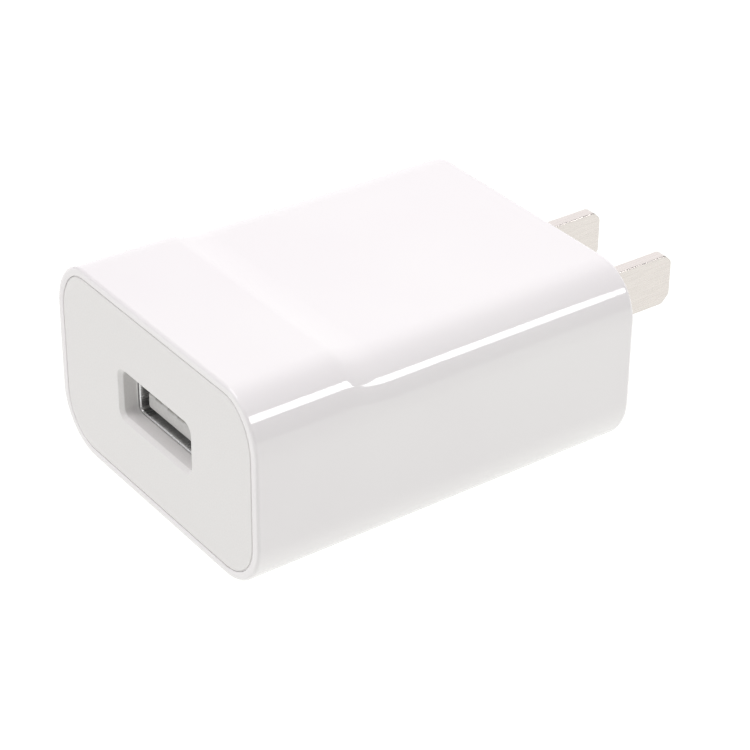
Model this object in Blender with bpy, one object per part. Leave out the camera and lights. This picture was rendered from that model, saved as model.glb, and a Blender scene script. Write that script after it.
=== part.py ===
"""USB wall charger with two fixed flat blades, built from its separate pieces.

Frame: metres. The origin is the centre of the outlet face, +Y points out of it along the blades, +Z is up and
the USB face looks along -Y. Lengths below are in millimetres and are turned to metres by MM.
"""

import math

import bmesh
import bpy
from mathutils import Matrix, Vector

MM = 0.001

# Housing
BODY_LENGTH = 48.8
FRONT_WIDTH = 39.2
REAR_WIDTH = 38.7
BODY_HEIGHT = 22.3
COLLAR_RISE = 0.85
COLLAR_LENGTH = 11.75
CREASE_RADIUS = 3.0
CREASE_LENGTH = 0.75
TOP_CORNER_RADIUS = 5.8
BOTTOM_CORNER_RADIUS = 6.4
FRONT_EDGE_RADIUS = 0.35
REAR_EDGE_RADIUS = 0.6
WALL = 1.6
OUTLET_WALL = 2.0
RIM_SIDE = 1.1
RIM_TOP = 0.95
FIT_GAP = 0.3

# Face panel
PANEL_GAP = 0.25
PANEL_THICKNESS = 1.8
SKIRT_LENGTH = 3.0
SKIRT_WALL = 1.0
OPENING_WIDTH = 13.7
OPENING_HEIGHT = 5.6
OPENING_RADIUS = 0.8
OPENING_CHAMFER = 0.4

# Blades
BLADE_PITCH = 12.7
BLADE_WIDTH = 6.35
BLADE_THICKNESS = 1.5
BLADE_REACH = 16.3
BLADE_TAIL = 7.0
TAIL_STEP = 0.1
TAIL_START = 0.05
BLADE_TIP_CHAMFER = 1.0
BLADE_TIP_BEVEL = 0.35
HOLDER_WIDTH = 25.0
HOLDER_HEIGHT = 12.0
HOLDER_DEPTH = 4.2
HOLDER_BEVEL = 0.5
LEAF = 0.4
LEAF_WIDTH = 3.0
LEAF_FOOT = 5.0
LEAF_BOTTOM = -2.5

# USB receptacle
USB_DEPTH = 2.05
USB_WIDTH = 13.1
USB_HEIGHT = 5.7
USB_LENGTH = 14.0
USB_SHEET = 0.3
USB_RADIUS = 0.8
TONGUE_WIDTH = 11.1
TONGUE_BOTTOM = -2.0
TONGUE_TOP = -0.16
TONGUE_SETBACK = 0.55
TONGUE_LENGTH = 8.8
BLOCK_CLEARANCE = 0.2
TONGUE_BEVEL = 0.2
BLOCK_BEVEL = 0.4
CONTACT_XS = (-3.5, -1.0, 1.0, 3.5)
CONTACT_WIDTH = 1.0
CONTACT_THICKNESS = 0.25
CONTACT_LIFT = 0.12
CONTACT_HUMP = 0.35
CONTACT_SETBACK = 0.6
HUMP_LENGTH = 3.2
CONTACT_SLOT_GAP = 0.2

# Board and its components
BOARD_WIDTH = 33.0
BOARD_THICKNESS = 1.2
BOARD_FRONT_GAP = 5.2
BOARD_END_GAP = 8.4
TRANSFORMER_CENTRE = (-8.4, -22.0, -3.3)
CORE_LENGTH = 12.4
CORE_WIDTH = 13.4
CORE_DEPTH = 6.0
CORE_BACK = 2.2
CORE_LEG = 2.4
CORE_SIDE_LEG = 1.5
BOBBIN_HEIGHT = 11.2
BOBBIN_FLANGE = 0.6
BOBBIN_WALL = 0.5
WINDING_HEIGHT = 10.4
WINDING_CORNER = 0.4
WINDING_GAP = 0.2
INPUT_CAPACITOR = {"y": -24.0, "radius": 4.0, "length": 11.5}
INPUT_CAPACITOR_XS = (3.6, 12.2)
OUTPUT_CAPACITOR = {"x": -11.6, "y": -37.5, "radius": 3.15, "length": 11.0}
CHOKE_PLACE = (11.8, -38.5)
CHOKE_RADIUS = 3.0
CHOKE_HEIGHT = 7.0
CHOKE_FLANGE = 1.2
CHOKE_CORE_RADIUS = 2.2
COIL_RADII = (2.5, 2.9)
COIL_GAP = 0.5
FUSE_PLACE = (11.0, -15.0)
FUSE_RADIUS = 1.6
FUSE_WAIST_RADIUS = 1.3
FUSE_HALF_LENGTH = 4.5
FUSE_CAP = 1.5
FUSE_EDGE = 0.4
DISC_PLACE = (2.0, -15.8)
DISC_RADIUS = 3.6
DISC_HALF_THICKNESS = 1.5
DISC_EDGE = 1.0
CHIPS = {
    "bridge_rectifier": {"corner": (4.0, -20.0), "size": (4.8, 4.0, 2.4)},
    "controller_chip": {"corner": (-7.0, -26.0), "size": (4.9, 3.9, 1.5)},
    "output_diode": {"corner": (-9.0, -36.0), "size": (4.3, 2.6, 2.1)},
}
CHIP_BEVEL = 0.25
SHEET_WIDTH = 24.0
SHEET_THICKNESS = 0.3
SHEET_GAP = 1.6
SHEET_FLOOR_GAP = 0.4

CORNER_STEPS = 6
EDGE_STEPS = 3
CREASE_STEPS = 3
COVE_STEPS = 5
ROUND_STEPS = 24

FACE_Y = -BODY_LENGTH
BOTTOM_Z = -BODY_HEIGHT / 2
COLLAR_TOP_Z = BODY_HEIGHT / 2 + COLLAR_RISE
CREASE_DROP = CREASE_LENGTH**2 / (2 * CREASE_RADIUS)
COVE_DROP = COLLAR_RISE - CREASE_DROP
COVE_LENGTH = 2 * COVE_DROP * CREASE_RADIUS / CREASE_LENGTH
CREASE_Y = FACE_Y + COLLAR_LENGTH
COVE_Y = CREASE_Y + CREASE_LENGTH
USB_Z = (COLLAR_TOP_Z + BOTTOM_Z) / 2
USB_FRONT_Y = FACE_Y + USB_DEPTH
USB_REAR_Y = USB_FRONT_Y + USB_LENGTH
BOARD_Z = USB_Z + USB_HEIGHT / 2 + FIT_GAP
CAVITY_FLOOR_Z = BOTTOM_Z + WALL


def clear_scene():
    for old in list(bpy.data.objects):
        bpy.data.objects.remove(old, do_unlink=True)


def material(name, color, roughness, metallic=0.0):
    made = bpy.data.materials.new(name)
    made.use_nodes = True
    shader = made.node_tree.nodes["Principled BSDF"]
    shader.inputs["Base Color"].default_value = (*color, 1.0)
    shader.inputs["Roughness"].default_value = roughness
    shader.inputs["Metallic"].default_value = metallic
    return made


def object_from_bmesh(name, bm, mat, smooth=False):
    """Scales a bmesh drawn in millimetres to metres and links it as an object."""
    bmesh.ops.recalc_face_normals(bm, faces=bm.faces)
    bmesh.ops.transform(bm, matrix=Matrix.Scale(MM, 4), verts=bm.verts)
    mesh = bpy.data.meshes.new(name)
    bm.to_mesh(mesh)
    bm.free()
    if smooth:
        mesh.shade_smooth()
        mesh.set_sharp_from_angle(angle=math.radians(35))
    mesh.materials.append(mat)
    made = bpy.data.objects.new(name, mesh)
    bpy.context.scene.collection.objects.link(made)
    made.parent = bpy.data.objects["charger"]
    return made


def as_cutter(piece):
    piece.hide_render = True
    piece.display_type = "WIRE"
    return piece


def cut(piece, *cutters):
    for cutter in cutters:
        as_cutter(cutter)
        modifier = piece.modifiers.new(f"cut {cutter.name}", "BOOLEAN")
        modifier.operation = "DIFFERENCE"
        modifier.object = cutter


def join(piece, *others):
    for other in others:
        as_cutter(other)
        modifier = piece.modifiers.new(f"join {other.name}", "BOOLEAN")
        modifier.operation = "UNION"
        modifier.object = other


def outline_with_corners(width, low, high, top, bottom, steps=CORNER_STEPS):
    """Points (x, z) of a rectangle with round corners, counterclockwise from the right side.

    top and bottom are the half-axes (across, down) of the corners, which are quarter ellipses.
    """
    half = width / 2
    corners = (
        (half - top[0], high - top[1], top, 0),
        (-half + top[0], high - top[1], top, 90),
        (-half + bottom[0], low + bottom[1], bottom, 180),
        (half - bottom[0], low + bottom[1], bottom, 270),
    )
    points = []
    for x, z, (across, down), start in corners:
        for step in range(steps + 1):
            angle = math.radians(start + 90 * step / steps)
            points.append((x + across * math.cos(angle), z + down * math.sin(angle)))
    return points


def rounded_outline(width, low, high, radius, steps=CORNER_STEPS):
    return outline_with_corners(width, low, high, (radius, radius), (radius, radius), steps)


def loft(name, sections, mat, smooth=False):
    """A closed solid through sections [(y, outline), ...] whose outlines have the same number of points."""
    bm = bmesh.new()
    rings = [[bm.verts.new((x, y, z)) for x, z in outline] for y, outline in sections]
    count = len(rings[0])
    for near, far in zip(rings, rings[1:]):
        for i in range(count):
            j = (i + 1) % count
            bm.faces.new((near[i], near[j], far[j], far[i]))
    bm.faces.new(rings[0])
    bm.faces.new(reversed(rings[-1]))
    return object_from_bmesh(name, bm, mat, smooth)


def block(name, low, high, mat, bevel=0.0):
    """A box between two corners, with its edges chamfered by bevel."""
    bm = bmesh.new()
    bmesh.ops.create_cube(bm, size=1)
    low, high = Vector(low), Vector(high)
    size = Matrix.Diagonal((*(high - low), 1))
    bmesh.ops.transform(bm, matrix=Matrix.Translation((low + high) / 2) @ size, verts=bm.verts)
    if bevel:
        bmesh.ops.bevel(bm, geom=bm.edges[:], offset=bevel, segments=1, affect="EDGES")
    return object_from_bmesh(name, bm, mat)


def strip(name, outline, x_low, x_high, mat):
    """An outline of (y, z) points extruded from x_low to x_high."""
    bm = bmesh.new()
    face = bm.faces.new([bm.verts.new((x_low, y, z)) for y, z in outline])
    side = bmesh.ops.extrude_face_region(bm, geom=[face])
    moved = [item for item in side["geom"] if isinstance(item, bmesh.types.BMVert)]
    bmesh.ops.translate(bm, vec=(x_high - x_low, 0, 0), verts=moved)
    return object_from_bmesh(name, bm, mat)


def turned(name, profile, place, axis, mat, steps=ROUND_STEPS):
    """A profile of (radius, height) points, top to bottom, turned round an axis through place."""
    bm = bmesh.new()
    points = [bm.verts.new((radius, 0, height)) for radius, height in profile]
    for first, second in zip(points, points[1:]):
        bm.edges.new((first, second))
    bmesh.ops.spin(
        bm, geom=bm.verts[:] + bm.edges[:], cent=(0, 0, 0), axis=(0, 0, 1),
        angle=math.tau, steps=steps, use_merge=True,
    )
    bmesh.ops.remove_doubles(bm, verts=bm.verts, dist=0.001)
    turn = Vector((0, 0, 1)).rotation_difference(Vector(axis)).to_matrix().to_4x4()
    bmesh.ops.transform(bm, matrix=Matrix.Translation(place) @ turn, verts=bm.verts)
    return object_from_bmesh(name, bm, mat, smooth=True)


def width_at(y):
    return FRONT_WIDTH + (REAR_WIDTH - FRONT_WIDTH) * (y - FACE_Y) / BODY_LENGTH


def top_at(y):
    """Height of the housing's top: level on the collar, rounded over at the crease, then a hollow cove."""
    if y <= CREASE_Y:
        return COLLAR_TOP_Z
    if y <= COVE_Y:
        return COLLAR_TOP_Z - (y - CREASE_Y) ** 2 / (2 * CREASE_RADIUS)
    left = max(0.0, 1.0 - (y - COVE_Y) / COVE_LENGTH)
    return BODY_HEIGHT / 2 + COVE_DROP * left**2


def housing_section(y, inset=0.0):
    """The housing's outline at y. Its top corners are taller on the collar, so the sides stay straight."""
    high = top_at(y)
    across = TOP_CORNER_RADIUS - inset
    down = across + high - BODY_HEIGHT / 2
    bottom = BOTTOM_CORNER_RADIUS - inset
    outline = outline_with_corners(
        width_at(y) - 2 * inset, BOTTOM_Z + inset, high - inset, (across, down), (bottom, bottom)
    )
    return y, outline


def rounded_end(y, towards, radius):
    """Sections that round the housing's end at y; towards is +1 or -1, the way into the body."""
    sections = []
    for step in range(EDGE_STEPS + 1):
        angle = math.radians(90 * step / EDGE_STEPS)
        inset = radius * (1 - math.sin(angle))
        sections.append(housing_section(y + towards * radius * (1 - math.cos(angle)), inset))
    return sections


def opening_outline(gap=0.0):
    """The mouth in the shell's front end that the face panel fills."""
    side, end = RIM_SIDE + gap, RIM_TOP + gap
    across = TOP_CORNER_RADIUS - side
    down = TOP_CORNER_RADIUS + COLLAR_RISE - end
    bottom = BOTTOM_CORNER_RADIUS - side
    return outline_with_corners(
        FRONT_WIDTH - 2 * side, BOTTOM_Z + end, COLLAR_TOP_Z - end, (across, down), (bottom, bottom)
    )


def blade_slot(name, x, y_low, y_high):
    """A cutter that clears a blade by FIT_GAP all round."""
    half = BLADE_THICKNESS / 2 + FIT_GAP
    tall = BLADE_WIDTH / 2 + FIT_GAP
    return block(name, (x - half, y_low, -tall), (x + half, y_high, tall), PLASTIC)


def make_housing():
    crease = [CREASE_Y + CREASE_LENGTH * step / CREASE_STEPS for step in range(CREASE_STEPS)]
    cove = [COVE_Y + COVE_LENGTH * step / COVE_STEPS for step in range(COVE_STEPS + 1)]
    sections = rounded_end(FACE_Y, 1, FRONT_EDGE_RADIUS)
    sections += [housing_section(y) for y in crease + cove]
    sections += reversed(rounded_end(0, -1, REAR_EDGE_RADIUS))
    shell = loft("housing_shell", sections, GLOSSY_SHELL, smooth=True)

    ledge_y = FACE_Y + PANEL_THICKNESS + PANEL_GAP
    cavity = loft(
        "housing_cavity",
        [
            (FACE_Y - 1, opening_outline()),
            (ledge_y, opening_outline()),
            housing_section(ledge_y, WALL),
            housing_section(CREASE_Y, WALL),
            housing_section(COVE_Y + COVE_LENGTH, WALL),
            housing_section(-OUTLET_WALL, WALL),
        ],
        PLASTIC,
    )
    slots = [
        blade_slot(f"housing_slot_{side}", x, -OUTLET_WALL - 1, 1)
        for side, x in (("left", -BLADE_PITCH / 2), ("right", BLADE_PITCH / 2))
    ]
    cut(shell, cavity, *slots)


def make_face_panel():
    back_y = FACE_Y + PANEL_THICKNESS
    outline = opening_outline(PANEL_GAP)
    panel = loft("face_panel", [(FACE_Y, outline), (back_y, outline)], MATTE_PANEL)

    skirt_y = back_y + SKIRT_LENGTH
    outer = WALL + FIT_GAP
    skirt_start = (back_y - PANEL_THICKNESS / 2, housing_section(back_y, outer)[1])
    skirt = loft("panel_skirt", [skirt_start, housing_section(skirt_y, outer)], PLASTIC)
    inner = outer + SKIRT_WALL
    hollow = loft(
        "panel_hollow", [housing_section(back_y, inner), housing_section(skirt_y + 1, inner)], PLASTIC
    )
    low, high = USB_Z - OPENING_HEIGHT / 2, USB_Z + OPENING_HEIGHT / 2
    mouth = rounded_outline(OPENING_WIDTH, low, high, OPENING_RADIUS)
    flare = 1 + OPENING_CHAMFER
    flared = rounded_outline(
        OPENING_WIDTH + 2 * flare, low - flare, high + flare, OPENING_RADIUS + flare
    )
    opening = loft(
        "panel_opening",
        [(FACE_Y - 1, flared), (FACE_Y + OPENING_CHAMFER, mouth), (back_y + 1, mouth)],
        PLASTIC,
    )
    join(panel, skirt)
    cut(panel, hollow, opening)


def make_blade(side, x):
    """A flat blade whose free end has cut corners and eased edges.

    Its tail is pressed thinner and goes on inside the case.
    """
    half = BLADE_WIDTH / 2
    shoulder = half - BLADE_TIP_CHAMFER
    corner_y = BLADE_REACH - BLADE_TIP_CHAMFER
    outline = (
        (TAIL_START, -half), (corner_y, -half), (BLADE_REACH, -shoulder),
        (BLADE_REACH, shoulder), (corner_y, half), (TAIL_START, half),
    )
    thick = BLADE_THICKNESS / 2
    blade = strip(f"blade_{side}", outline, x - thick, x + thick, NICKEL)
    eased = blade.modifiers.new("ease tip", "BEVEL")
    eased.width = BLADE_TIP_BEVEL * MM
    eased.segments = 1
    eased.limit_method = "WEIGHT"
    mesh = blade.data
    weights = mesh.attributes.new("bevel_weight_edge", "FLOAT", "EDGE")
    for edge in mesh.edges:
        first, second = (mesh.vertices[i].co / MM for i in edge.vertices)
        level = abs(first.x - second.x) < TAIL_STEP
        at_tip = min(first.y, second.y) >= corner_y - TAIL_STEP
        weights.data[edge.index].value = 1.0 if level and at_tip else 0.0
    tail_thick = thick - TAIL_STEP
    low = (x - tail_thick, -BLADE_TAIL, -half)
    join(blade, block(f"blade_tail_{side}", low, (x + tail_thick, TAIL_START + 1, half), NICKEL))


def make_blade_holder():
    high_y = -OUTLET_WALL - FIT_GAP
    low_y = high_y - HOLDER_DEPTH
    half, tall = HOLDER_WIDTH / 2, HOLDER_HEIGHT / 2
    holder = block("blade_holder", (-half, low_y, -tall), (half, high_y, tall), MATTE_PANEL, HOLDER_BEVEL)
    slots = [
        blade_slot(f"holder_slot_{side}", x, low_y - 1, -OUTLET_WALL + 1)
        for side, x in (("left", -BLADE_PITCH / 2), ("right", BLADE_PITCH / 2))
    ]
    cut(holder, *slots)


def make_blade_contact(side, x):
    """A leaf that stands against the blade's tail and turns forwards under the board."""
    near = -BLADE_TAIL - FIT_GAP
    far = near - LEAF
    foot = near - LEAF_FOOT
    top = BOARD_Z - FIT_GAP
    outline = (
        (near, LEAF_BOTTOM), (near, top), (foot, top),
        (foot, top - LEAF), (far, top - LEAF), (far, LEAF_BOTTOM),
    )
    strip(f"blade_contact_{side}", outline, x - LEAF_WIDTH / 2, x + LEAF_WIDTH / 2, BRONZE)


def make_usb_receptacle():
    low, high = USB_Z - USB_HEIGHT / 2, USB_Z + USB_HEIGHT / 2
    outside = rounded_outline(USB_WIDTH, low, high, USB_RADIUS, 3)
    inside = rounded_outline(
        USB_WIDTH - 2 * USB_SHEET, low + USB_SHEET, high - USB_SHEET, USB_RADIUS - USB_SHEET, 3
    )
    shell = loft("usb_shell", [(USB_FRONT_Y, outside), (USB_REAR_Y, outside)], STEEL, smooth=True)
    cut(shell, loft("usb_bore", [(USB_FRONT_Y - 1, inside), (USB_REAR_Y + 1, inside)], STEEL))

    tongue_y = USB_FRONT_Y + TONGUE_SETBACK
    block_y = tongue_y + TONGUE_LENGTH
    half = USB_WIDTH / 2 - USB_SHEET - BLOCK_CLEARANCE
    tall = USB_HEIGHT / 2 - USB_SHEET - BLOCK_CLEARANCE
    insulator = block(
        "usb_insulator",
        (-half, block_y, USB_Z - tall),
        (half, USB_REAR_Y - FIT_GAP, USB_Z + tall),
        TONGUE_PLASTIC,
        BLOCK_BEVEL,
    )
    tongue = block(
        "usb_tongue",
        (-TONGUE_WIDTH / 2, tongue_y, USB_Z + TONGUE_BOTTOM),
        (TONGUE_WIDTH / 2, block_y + 1, USB_Z + TONGUE_TOP),
        TONGUE_PLASTIC,
        TONGUE_BEVEL,
    )
    join(insulator, tongue)

    rest_z = USB_Z + TONGUE_TOP + CONTACT_LIFT
    top_z = rest_z + CONTACT_THICKNESS
    start_y = tongue_y + CONTACT_SETBACK
    hump_y, level_y = start_y + HUMP_LENGTH / 2, start_y + HUMP_LENGTH
    tail_y, back_y = USB_REAR_Y + FIT_GAP, USB_REAR_Y + FIT_GAP + CONTACT_THICKNESS
    tail_z = BOARD_Z - FIT_GAP
    for number, x in enumerate(CONTACT_XS, 1):
        low_x, high_x = x - CONTACT_WIDTH / 2, x + CONTACT_WIDTH / 2
        slot = block(
            f"contact_slot_{number}",
            (low_x - CONTACT_SLOT_GAP, block_y - 0.5, rest_z - CONTACT_SLOT_GAP / 2),
            (high_x + CONTACT_SLOT_GAP, USB_REAR_Y + 1, top_z + CONTACT_SLOT_GAP),
            TONGUE_PLASTIC,
        )
        cut(insulator, slot)
        outline = (
            (start_y, rest_z), (start_y, top_z), (hump_y, top_z + CONTACT_HUMP), (level_y, top_z),
            (tail_y, top_z), (tail_y, tail_z), (back_y, tail_z), (back_y, rest_z),
            (level_y, rest_z), (hump_y, rest_z + CONTACT_HUMP),
        )
        strip(f"usb_contact_{number}", outline, low_x, high_x, GOLD)


def make_board():
    """The board hangs in the upper half: the receptacle and the tall parts are on its underside."""
    block(
        "main_board",
        (-BOARD_WIDTH / 2, FACE_Y + BOARD_FRONT_GAP, BOARD_Z),
        (BOARD_WIDTH / 2, -BOARD_END_GAP, BOARD_Z + BOARD_THICKNESS),
        BOARD_GREEN,
    )


def core_half(name, facing):
    """Half of an E core: a back with three legs. facing is +1 or -1, the side of the centre it lies on."""
    cx, cy, cz = TRANSFORMER_CENTRE
    outer, inner = facing * CORE_LENGTH / 2, facing * FIT_GAP / 4
    back = outer - facing * CORE_BACK
    half, leg = CORE_WIDTH / 2, CORE_LEG / 2
    side_leg = half - CORE_SIDE_LEG
    plan = (
        (outer, -half), (inner, -half), (inner, -side_leg), (back, -side_leg), (back, -leg), (inner, -leg),
        (inner, leg), (back, leg), (back, side_leg), (inner, side_leg), (inner, half), (outer, half),
    )
    bm = bmesh.new()
    face = bm.faces.new([bm.verts.new((cx + x, cy + y, cz - CORE_DEPTH / 2)) for x, y in plan])
    side = bmesh.ops.extrude_face_region(bm, geom=[face])
    moved = [item for item in side["geom"] if isinstance(item, bmesh.types.BMVert)]
    bmesh.ops.translate(bm, vec=(0, 0, CORE_DEPTH), verts=moved)
    object_from_bmesh(name, bm, FERRITE)


def transformer_block(name, halves, mat, bevel=0.0):
    """A box round the transformer's centre, given its three half sizes."""
    low = [c - half for c, half in zip(TRANSFORMER_CENTRE, halves)]
    high = [c + half for c, half in zip(TRANSFORMER_CENTRE, halves)]
    return block(name, low, high, mat, bevel)


def make_transformer():
    """An E-core transformer whose bobbin lies along X around the cores' centre legs."""
    core_half("transformer_core_left", -1)
    core_half("transformer_core_right", 1)

    reach = CORE_LENGTH / 2 - CORE_BACK - FIT_GAP
    window = CORE_WIDTH / 2 - CORE_SIDE_LEG - FIT_GAP
    tall = BOBBIN_HEIGHT / 2
    hole_y, hole_z = CORE_LEG / 2 + FIT_GAP, CORE_DEPTH / 2 + FIT_GAP
    tube_y, tube_z = hole_y + BOBBIN_WALL, hole_z + BOBBIN_WALL
    groove = reach - BOBBIN_FLANGE
    bobbin = transformer_block("transformer_bobbin", (reach, window, tall), BOBBIN)
    cut(bobbin, transformer_block("bobbin_waist", (groove, window + 1, tall + 1), BOBBIN))
    join(bobbin, transformer_block("bobbin_tube", (reach, tube_y, tube_z), BOBBIN))
    cut(bobbin, transformer_block("bobbin_bore", (reach + 1, hole_y, hole_z), BOBBIN))

    wound = groove - FIT_GAP
    outside = (wound, window - FIT_GAP, WINDING_HEIGHT / 2)
    winding = transformer_block("transformer_winding", outside, TAPE, WINDING_CORNER)
    bore = (wound + 1, tube_y + WINDING_GAP, tube_z + WINDING_GAP)
    cut(winding, transformer_block("winding_bore", bore, TAPE))


def make_capacitor(name, x, y, radius, length):
    """A can hanging from the board, with the crimped groove near its rubber end and a cut rim."""
    groove = radius - 0.5
    profile = (
        (0, 0), (radius - 0.6, 0), (radius, -0.4), (radius, -1.4), (groove, -1.8), (radius, -2.2),
        (radius, 0.5 - length), (groove, -length), (0, -length),
    )
    turned(name, profile, (x, y, BOARD_Z - FIT_GAP), (0, 0, 1), SLEEVE)


def make_capacitors():
    for number, x in enumerate(INPUT_CAPACITOR_XS, 1):
        make_capacitor(f"input_capacitor_{number}", x, **INPUT_CAPACITOR)
    make_capacitor("output_capacitor", **OUTPUT_CAPACITOR)
    rim, flat = DISC_HALF_THICKNESS, DISC_RADIUS - DISC_EDGE
    side = rim - DISC_EDGE / 2
    disc = ((0, rim), (flat, rim), (DISC_RADIUS, side), (DISC_RADIUS, -side), (flat, -rim), (0, -rim))
    place = (*DISC_PLACE, BOARD_Z - 2 * FIT_GAP - DISC_RADIUS)
    turned("safety_capacitor", disc, place, (0, 1, 0), CERAMIC_BLUE)


def make_choke():
    """A spool of ferrite with its winding, standing under the board."""
    place = (*CHOKE_PLACE, BOARD_Z - FIT_GAP)
    radius, core, low, high = CHOKE_RADIUS, CHOKE_CORE_RADIUS, CHOKE_FLANGE - CHOKE_HEIGHT, -CHOKE_FLANGE
    spool = (
        (0, 0), (radius, 0), (radius, high), (core, high - 0.3), (core, low + 0.3), (radius, low),
        (radius, -CHOKE_HEIGHT), (0, -CHOKE_HEIGHT),
    )
    turned("filter_choke", spool, place, (0, 0, 1), FERRITE)
    inner, outer = COIL_RADII
    top, bottom = high - COIL_GAP, low + COIL_GAP
    coil = ((inner, top), (outer, top), (outer, bottom), (inner, bottom), (inner, top))
    turned("choke_winding", coil, place, (0, 0, 1), COPPER)


def make_fuse_resistor():
    """A coated rod with a wider cap at each end, lying under the board."""
    end, edge, radius = FUSE_HALF_LENGTH, FUSE_EDGE, FUSE_RADIUS
    cap = end - FUSE_CAP
    waist = FUSE_WAIST_RADIUS
    half = ((0, end), (radius - edge, end), (radius, end - edge), (radius, cap), (waist, cap - edge))
    profile = half + tuple((r, -height) for r, height in reversed(half))
    place = (*FUSE_PLACE, BOARD_Z - 2 * FIT_GAP - FUSE_RADIUS)
    turned("fuse_resistor", profile, place, (1, 0, 0), RESISTOR_GREEN, 16)


def make_chips():
    """The flat packages on the board's upper side."""
    floor = BOARD_Z + BOARD_THICKNESS + FIT_GAP
    for name, chip in CHIPS.items():
        low = Vector((*chip["corner"], floor))
        block(name, low, low + Vector(chip["size"]), CHIP_BLACK, CHIP_BEVEL)


def make_insulation_sheet():
    """The paper wall between the mains side and the receptacle."""
    y = USB_REAR_Y + SHEET_GAP
    low = (-SHEET_WIDTH / 2, y, CAVITY_FLOOR_Z + SHEET_FLOOR_GAP)
    block("insulation_sheet", low, (SHEET_WIDTH / 2, y + SHEET_THICKNESS, BOARD_Z - FIT_GAP), FISH_PAPER)


clear_scene()
bpy.context.scene.collection.objects.link(bpy.data.objects.new("charger", None))

GLOSSY_SHELL = material("glossy_white_shell", (0.86, 0.85, 0.85), 0.12)
MATTE_PANEL = material("matte_white_panel", (0.72, 0.72, 0.71), 0.55)
PLASTIC = material("cutter_plastic", (0.8, 0.8, 0.8), 0.5)
NICKEL = material("nickel_plated_brass", (0.72, 0.68, 0.60), 0.25, 1.0)
STEEL = material("bright_steel_sheet", (0.75, 0.75, 0.75), 0.2, 1.0)
TONGUE_PLASTIC = material("tongue_plastic", (0.75, 0.75, 0.74), 0.45)
GOLD = material("gold_flashed_contact", (0.85, 0.65, 0.3), 0.25, 1.0)
BRONZE = material("phosphor_bronze", (0.75, 0.5, 0.3), 0.3, 1.0)
BOARD_GREEN = material("board_laminate", (0.05, 0.2, 0.08), 0.4)
FERRITE = material("ferrite", (0.05, 0.05, 0.055), 0.6)
BOBBIN = material("bobbin_plastic", (0.08, 0.08, 0.08), 0.5)
COPPER = material("enamelled_copper", (0.65, 0.3, 0.12), 0.3, 1.0)
TAPE = material("yellow_winding_tape", (0.8, 0.6, 0.08), 0.4)
SLEEVE = material("capacitor_sleeve", (0.05, 0.06, 0.12), 0.35)
RESISTOR_GREEN = material("resistor_coating", (0.2, 0.45, 0.35), 0.5)
CERAMIC_BLUE = material("disc_coating", (0.1, 0.25, 0.6), 0.45)
CHIP_BLACK = material("moulded_epoxy", (0.02, 0.02, 0.02), 0.5)
FISH_PAPER = material("insulating_paper", (0.55, 0.5, 0.4), 0.8)

make_housing()
make_face_panel()
for side, x in (("left", -BLADE_PITCH / 2), ("right", BLADE_PITCH / 2)):
    make_blade(side, x)
    make_blade_contact(side, x)
make_blade_holder()
make_usb_receptacle()
make_board()
make_transformer()
make_capacitors()
make_choke()
make_fuse_resistor()
make_chips()
make_insulation_sheet()
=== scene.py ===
import math

import bmesh
import bpy
from mathutils import Matrix, Vector


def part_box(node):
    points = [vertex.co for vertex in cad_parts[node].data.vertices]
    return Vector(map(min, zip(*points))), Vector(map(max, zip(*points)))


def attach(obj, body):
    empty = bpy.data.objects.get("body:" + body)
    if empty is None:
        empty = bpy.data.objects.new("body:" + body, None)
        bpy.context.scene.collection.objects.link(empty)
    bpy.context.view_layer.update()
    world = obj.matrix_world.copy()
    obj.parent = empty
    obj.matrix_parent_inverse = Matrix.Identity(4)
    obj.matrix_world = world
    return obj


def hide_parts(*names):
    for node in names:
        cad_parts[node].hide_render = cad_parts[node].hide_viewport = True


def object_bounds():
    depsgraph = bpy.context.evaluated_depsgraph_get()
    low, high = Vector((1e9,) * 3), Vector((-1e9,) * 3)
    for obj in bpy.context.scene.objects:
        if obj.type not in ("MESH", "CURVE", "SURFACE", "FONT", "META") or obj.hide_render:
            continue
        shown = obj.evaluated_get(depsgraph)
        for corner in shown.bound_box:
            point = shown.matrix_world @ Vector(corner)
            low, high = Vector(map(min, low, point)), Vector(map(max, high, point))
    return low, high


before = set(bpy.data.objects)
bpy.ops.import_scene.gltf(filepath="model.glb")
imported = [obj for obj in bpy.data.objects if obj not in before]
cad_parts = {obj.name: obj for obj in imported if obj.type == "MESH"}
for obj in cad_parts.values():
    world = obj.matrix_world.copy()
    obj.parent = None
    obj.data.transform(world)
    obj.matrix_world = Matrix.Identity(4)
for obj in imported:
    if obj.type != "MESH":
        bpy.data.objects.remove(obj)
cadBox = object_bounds()
mm = 0.001

print("USB wall charger: frame loaded,", len(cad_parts), "pieces")


def linearColour(hexColour):
    channels = [int(hexColour[i:i + 2], 16) / 255 for i in (0, 2, 4)]
    return [c / 12.92 if c <= 0.04045 else ((c + 0.055) / 1.055) ** 2.4 for c in channels] + [1.0]


def addNode(tree, kind, inputs=None, **settings):
    # settings are the node's own properties; an input takes a value or another node's output, and goes by
    # name or number (a Mix node has its factor at 0, numbers at 2 and 3, and colours at 6 and 7)
    node = tree.nodes.new(kind)
    for name, value in settings.items():
        setattr(node, name, value)
    for name, value in (inputs or {}).items():
        if isinstance(value, bpy.types.NodeSocket):
            tree.links.new(value, node.inputs[name])
        else:
            node.inputs[name].default_value = value
    return node


def newMaterial(name, **shaderValues):
    # one Principled shader, with the values that are the same all over set by socket name
    material = bpy.data.materials.new(name)
    material.use_nodes = True
    tree = material.node_tree
    shader = tree.nodes["Principled BSDF"]
    for socket, value in shaderValues.items():
        shader.inputs[socket.replace("_", " ")].default_value = value
    return material, tree, shader


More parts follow.
